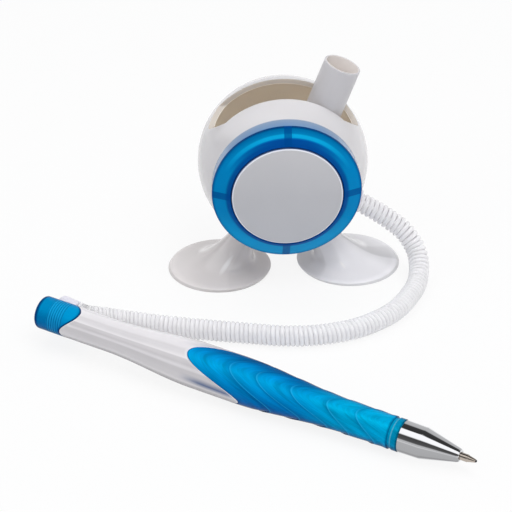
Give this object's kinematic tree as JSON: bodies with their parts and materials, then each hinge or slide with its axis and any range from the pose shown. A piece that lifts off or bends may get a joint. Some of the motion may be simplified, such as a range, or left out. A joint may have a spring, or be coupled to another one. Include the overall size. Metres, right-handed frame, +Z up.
{
  "type": "desk ballpoint pen",
  "caption": "Desk ballpoint pen on a curly cord with a round ball stand on suction feet, a leaning pen tube and a slot for clips.",
  "frame": {"origin": "on the table, under the middle of the box around the stand and the pen, cord left out", "axes": "+Z up, -Y is the front that the disc faces, +X to the right towards the pen's tip and the cord's outlet"},
  "size_m": [0.1222, 0.1428, 0.0717],
  "materials": {
    "white_gloss": "glossy moulded",
    "plate_white": "satin moulded",
    "blue_clear": "translucent, polished",
    "disc_grey": "matt",
    "tube_white": "satin",
    "foot_white": "glossy, flexible",
    "bush_white": "satin",
    "cord_clear": "translucent",
    "pearl_white": "pearl",
    "grip_blue": "translucent, polished",
    "chrome_nose": "polished plating",
    "refill_clear": "translucent with ink",
    "adapter_white": "matt",
    "tip_nickel": "nickel plated",
    "ball_metal": "polished"
  },
  "bodies": {
    "root": {"ball_shell": "white_gloss", "front_plate": "plate_white", "front_bezel": "blue_clear", "front_disc": "disc_grey", "pen_tube": "tube_white", "foot_left": "foot_white", "foot_right": "foot_white", "cord_bush": "bush_white", "cord_anchor": "cord_clear", "cord": "cord_clear", "cord_ferrule": "bush_white", "rear_cap": "blue_clear", "barrel_shell": "pearl_white", "grip_barrel": "grip_blue", "neck_ring": "blue_clear", "nose_cone": "chrome_nose", "refill_tube": "refill_clear", "refill_adapter": "adapter_white", "refill_tip": "tip_nickel", "writing_ball": "ball_metal"}
  },
  "joints": []
}
